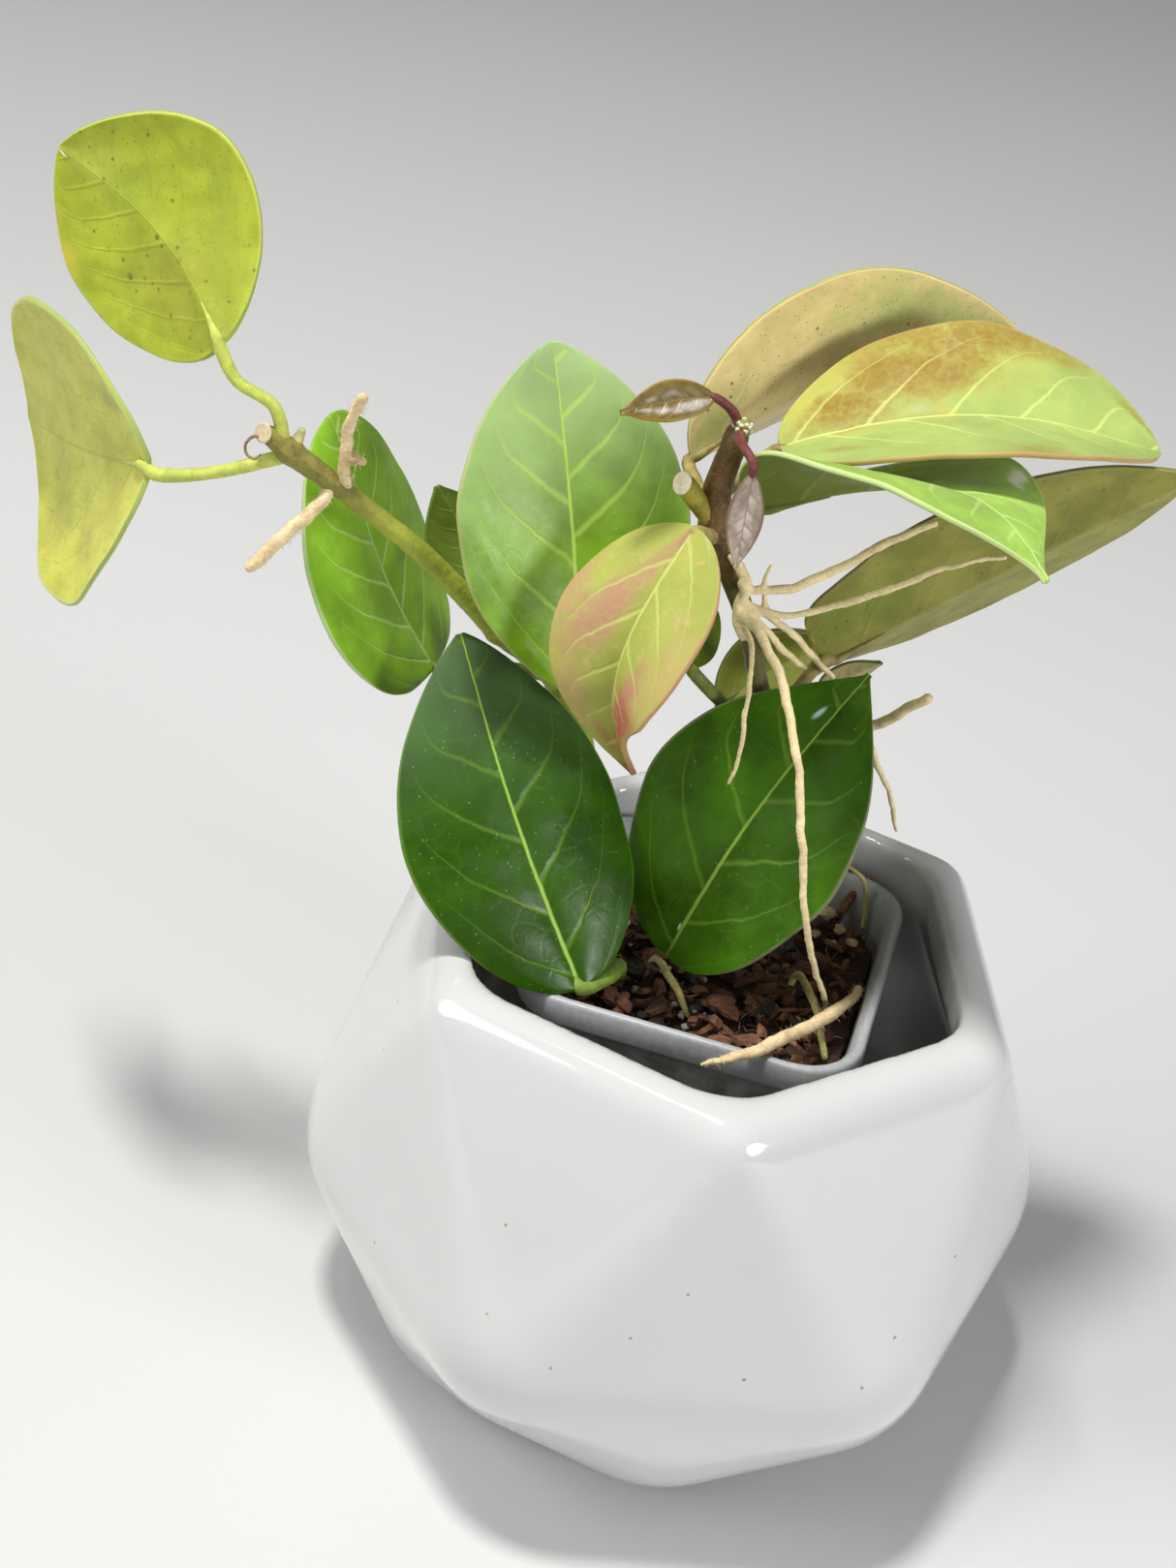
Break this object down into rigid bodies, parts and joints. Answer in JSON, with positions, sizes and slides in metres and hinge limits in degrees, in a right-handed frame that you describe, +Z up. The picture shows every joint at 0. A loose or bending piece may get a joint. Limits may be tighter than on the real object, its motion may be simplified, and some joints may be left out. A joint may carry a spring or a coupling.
{
  "type": "potted hoya plant",
  "caption": "Small trailing house plant with thick waxy oval leaves and tan aerial roots, in a square frosted nursery pot that stands loose inside a white faceted ceramic cachepot",
  "frame": {"origin": "centre of the cachepot's underside, on the surface it stands on", "axes": "+Z up through the middle of the cachepot; -Y is the side seen in the picture, +X to its right"},
  "size_m": [0.2048, 0.1302, 0.213],
  "materials": {
    "glazed_white": "semi-gloss white glaze with soft facet edges",
    "frosted_plastic": "frosted translucent grey plastic",
    "stem_brown": "brown-purple bark, satin",
    "stem_olive": "olive green, waxy",
    "leaf_green": "waxy mid green with pale veins",
    "leaf_dark_green": "waxy dark green with pale veins",
    "leaf_lime_underside": "pale lime underside with dark specks",
    "leaf_khaki_underside": "dull khaki underside",
    "leaf_blushed": "yellow-green with pink blush and pale veins",
    "leaflet_bronze": "young bronze leaf, silvery centre",
    "root_tan": "dry, finely ridged",
    "bark_mix": "dark bark chips and charcoal"
  },
  "bodies": {
    "root": {"cachepot": "glazed_white", "nursery_pot": "frosted_plastic", "main_stem": "stem_brown", "vine_stem": "stem_olive", "leaf_vine_end_upper": "leaf_lime_underside", "leaf_vine_end_lower": "leaf_lime_underside", "leaf_vine_back": "leaf_green", "leaf_vine_small_back": "leaf_green", "leaf_centre_tall": "leaf_green", "leaf_young_blushed": "leaf_blushed", "leaf_behind_young": "leaf_dark_green", "leaf_front_left": "leaf_dark_green", "leaf_front_right": "leaf_dark_green", "leaf_top_back": "leaf_khaki_underside", "leaf_top_blushed": "leaf_blushed", "leaf_right_twisted": "leaf_green", "leaf_right_back": "leaf_khaki_underside", "leaf_low_back_small": "leaf_khaki_underside", "leaf_low_back": "leaf_khaki_underside", "leaflet_shoot_left": "leaflet_bronze", "leaflet_shoot_hanging": "leaflet_bronze", "aerial_roots_knot": "root_tan", "aerial_roots_back": "root_tan", "vine_root_up": "root_tan", "vine_root_down": "root_tan", "root_on_soil_left": "root_tan", "root_hanging_back": "root_tan", "root_on_soil_right": "root_tan", "root_across_rim": "root_tan", "potting_mix": "bark_mix"}
  },
  "joints": []
}
